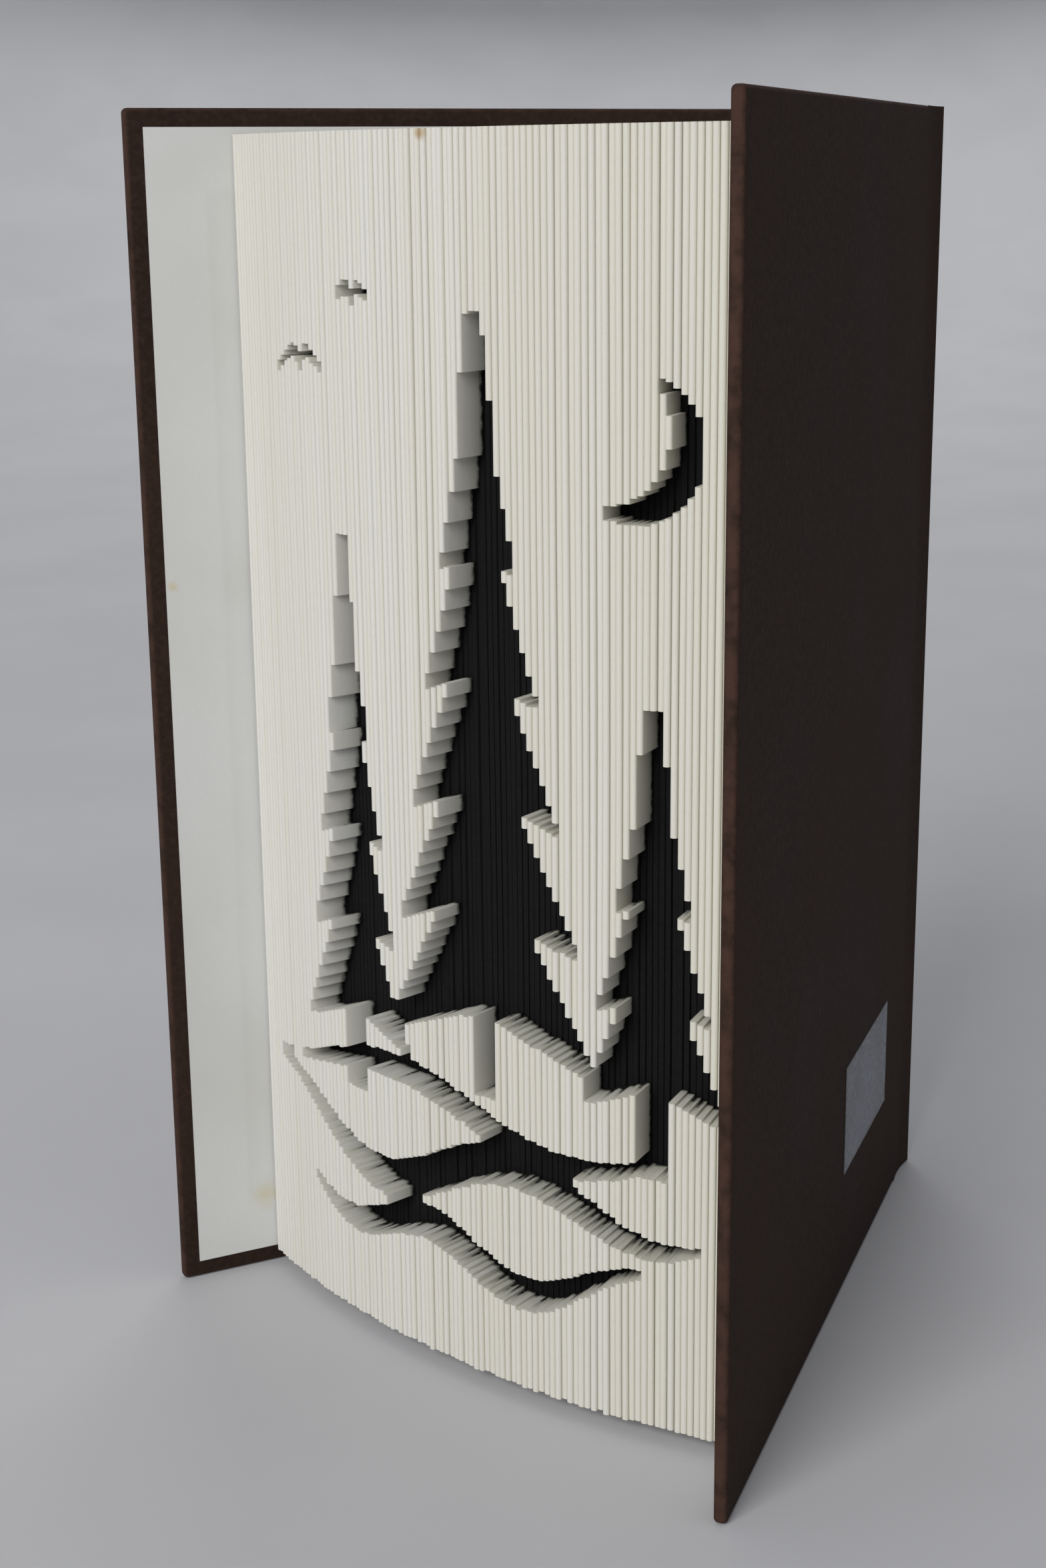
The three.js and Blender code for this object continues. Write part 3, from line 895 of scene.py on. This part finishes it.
# The spine's cloth is one strip: up the outside, over the head and tail, and a short way down inside
def add_spine_cloth(material):
    outer = SPINE_INLAY_THICKNESS + GLUE_GAP + CLOTH_THICKNESS
    inner = -GLUE_GAP - CLOTH_THICKNESS
    middle = (outer + inner) / 2
    half = (outer - inner) / 2
    outer_lip = half_circle(middle, half, 0)
    inner_lip = half_circle(middle, half - CLOTH_THICKNESS, CLOTH_THICKNESS)
    tail = outer_lip + [(inner, TURN_IN), (inner + CLOTH_THICKNESS, TURN_IN)]
    head = [(level, COVER_HEIGHT - height) for level, height in tail + inner_lip[::-1]]
    heights = [COVER_HEIGHT * step / SPINE_ROWS for step in range(1, SPINE_ROWS)]
    ring = tail[::-1] + [(outer, height) for height in heights] + head
    ring += [(outer - CLOTH_THICKNESS, height) for height in reversed(heights)] + inner_lip
    points = []
    for step in range(SPINE_STEPS + 1):
        angle = SPINE_HALF_ANGLE * (2 * step / SPINE_STEPS - 1)
        for level, height in ring:
            points.append((*spine_point(angle, level), height))
    faces = lofted_faces(len(ring), SPINE_STEPS)
    piece = add_piece("spine_cloth_strip", points, faces, [material], 40)
    face_outwards(piece)
    wear = []
    for vertex in piece.data.vertices:
        height = vertex.co.z / MM
        wear.append(1 - smooth(min(height, COVER_HEIGHT - height) / SPINE_WEAR_WIDTH))
    set_attribute(piece, "wear", wear)
    carry(piece, "block", "spine_cloth")


# Levels and heights round the fold at the tail of the spine's cloth
def half_circle(middle, radius, lowest):
    points = []
    for step in range(LIP_STEPS + 1):
        angle = math.pi * step / LIP_STEPS
        points.append((middle + radius * math.cos(angle), lowest + radius * (1 - math.sin(angle))))
    return points


# An upright strip along a path in plan, with the path in the middle of its thickness
def add_strip(name, side, path, thickness, low, high, material):
    ring = []
    for face in (1, -1):
        for index in range(len(path))[::face]:
            before, after = path[max(0, index - 1)], path[min(len(path) - 1, index + 1)]
            run = (after - before).normalized()
            ring.append(path[index] + Vector((-run.y, run.x)) * face * thickness / 2)
    points = []
    for row in range(JOINT_ROWS + 1):
        height = low + (high - low) * row / JOINT_ROWS
        points += [(side * point.x, point.y, height) for point in ring]
    piece = add_piece(name, points, lofted_faces(len(ring), JOINT_ROWS), [material], 50)
    face_outwards(piece)
    return piece


def bend_with_cover(piece, side, start, end):
    middle = COVER_HEIGHT / 2
    start, end = (Vector((side * point.x, point.y, middle)) * MM for point in (start, end))
    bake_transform(piece)


# The cloth across a joint sinks into the groove
def add_joint_cloth(name, side, node, material):
    middle = SPINE_INLAY_THICKNESS + GLUE_GAP + CLOTH_THICKNESS / 2
    at_spine = Vector(spine_point(SPINE_HALF_ANGLE + JOINT_END_GAP / SPINE_RADIUS, middle))
    at_board = Vector(cover_point(1, JOINT_WIDTH - JOINT_END_GAP, CLOTH_LEVEL + CLOTH_THICKNESS / 2))
    inward = Vector((-math.cos(COVER_OPENING), -math.sin(COVER_OPENING)))
    groove = (at_spine + at_board) / 2 + inward * 2 * GROOVE_DEPTH
    path = []
    for index in range(JOINT_STEPS + 1):
        share = index / JOINT_STEPS
        rest = 1 - share
        path.append(at_spine * rest**2 + groove * 2 * share * rest + at_board * share**2)
    piece = add_strip(name, side, path, CLOTH_THICKNESS, 0, COVER_HEIGHT, material)
    set_attribute(piece, "wear", [0.0] * len(piece.data.vertices))
    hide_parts(node)
    bend_with_cover(piece, side, at_spine, at_board)


# The endpaper runs on from the pastedown across the joint to the outer leaf
def add_endpaper_fold(name, side, material):
    first, last = -FOLD_START, JOINT_WIDTH - GLUE_GAP
    alongs = [first + (last - first) * index / JOINT_STEPS for index in range(JOINT_STEPS + 1)]
    path = [Vector(cover_point(1, along, PASTEDOWN_THICKNESS / 2)) for along in alongs]
    piece = add_strip(name, side, path, PASTEDOWN_THICKNESS, LEAF_TAIL, LEAF_HEAD, material)
    bend_with_cover(piece, side, path[0], path[-1])


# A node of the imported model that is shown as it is
def dress_node(node, material):
    piece = frame["nodes"][node]
    piece.data.materials.clear()
    piece.data.materials.append(material)


# A pale floor that sweeps up into a wall far from the book
def add_floor():
    look = Look("floor", 0.95)
    clouds = look.spread(look.noise(FLOOR_CLOUDS, 3), 0.3, 0.7)
    look.colour(look.mix(clouds, shade(195, 195, 198), shade(199, 199, 202)))
    rings = [(FLOOR_FLAT / 3, 0), (FLOOR_FLAT, 0)]
    for step in range(1, FLOOR_STEPS + 1):
        angle = math.pi / 2 * step / FLOOR_STEPS
        radius = FLOOR_FLAT + FLOOR_SWEEP * math.sin(angle)
        rings.append((radius, FLOOR_SWEEP * (1 - math.cos(angle))))
    rings.append((FLOOR_FLAT + FLOOR_SWEEP, FLOOR_WALL))
    points = []
    for radius, height in rings:
        for index in range(FLOOR_SIDES):
            angle = 2 * math.pi * index / FLOOR_SIDES
            points.append((radius * math.cos(angle), radius * math.sin(angle), height - FLOOR_DROP))
    faces = [tuple(range(FLOOR_SIDES))]
    for ring in range(len(rings) - 1):
        low = ring * FLOOR_SIDES
        high = low + FLOOR_SIDES
        for index in range(FLOOR_SIDES):
            after = (index + 1) % FLOOR_SIDES
            faces.append((low + index, low + after, high + after, high + index))
    add_piece("floor", points, faces, [look.material])


def add_lamp(name, place, size, power, tint=(1, 1, 1)):
    lamp = bpy.data.lights.new(name, "AREA")
    lamp.shape = "SQUARE"
    lamp.size = size
    lamp.energy = power
    lamp.color = tint
    holder = bpy.data.objects.new(name, lamp)
    bpy.context.scene.collection.objects.link(holder)
    holder.location = place
    ahead = Vector(LAMP_TARGET) - Vector(place)
    holder.rotation_euler = ahead.to_track_quat("-Z", "Y").to_euler()


# Soft light: a faint cool surround, and three large lamps
def add_light():
    world = bpy.data.worlds.new("studio")
    world.use_nodes = True
    background = world.node_tree.nodes["Background"]
    background.inputs["Color"].default_value = (0.93, 0.96, 1, 1)
    background.inputs["Strength"].default_value = 0.36
    bpy.context.scene.world = world
    add_lamp("key", (0.425, -2.21, 1.375), size=1.36, power=43, tint=(1, 0.99, 0.98))
    add_lamp("rear", (-1.35, 1.65, 1.45), size=1.8, power=15.7)
    add_lamp("side", (1.5, 0.5, 0.8), size=1.2, power=1.4)


cloth_front = cloth_look("cloth_front", COVER_OPENING)
cloth_back = cloth_look("cloth_back", -COVER_OPENING)
cloth_spine = cloth_look("cloth_spine", math.pi / 2)
add_leaves()
endpaper = endpaper_look()
for side, face, cloth in ((-1, "front", cloth_front), (1, "back", cloth_back)):
    body = face + "_cover"
    add_cover_cloth(face + "_case_cloth", side, body, face + "_cover_cloth", cloth)
    add_pastedown(face + "_endpaper", side, body, face + "_pastedown", endpaper)
    add_joint_cloth(face + "_joint_strip", side, face + "_joint_cloth", cloth)
    add_endpaper_fold(face + "_endpaper_fold", side, endpaper)
add_spine_cloth(cloth_spine)
add_label()
board = fibre_look("grey_board", shade(150, 140, 123), shade(128, 118, 102), BOARD_SPECKS)
lining = fibre_look("lining_paper", shade(201, 187, 158), shade(180, 164, 134), LINING_SPECKS)
band = band_look()
for node in ("front_board", "back_board", "spine_inlay"):
    dress_node(node, board)
dress_node("spine_paper_lining", lining)
dress_node("spine_mull", mull_look())
for node in ("headband", "tailband"):
    dress_node(node, band)
add_floor()
add_light()
bpy.context.scene.view_settings.view_transform = "Standard"
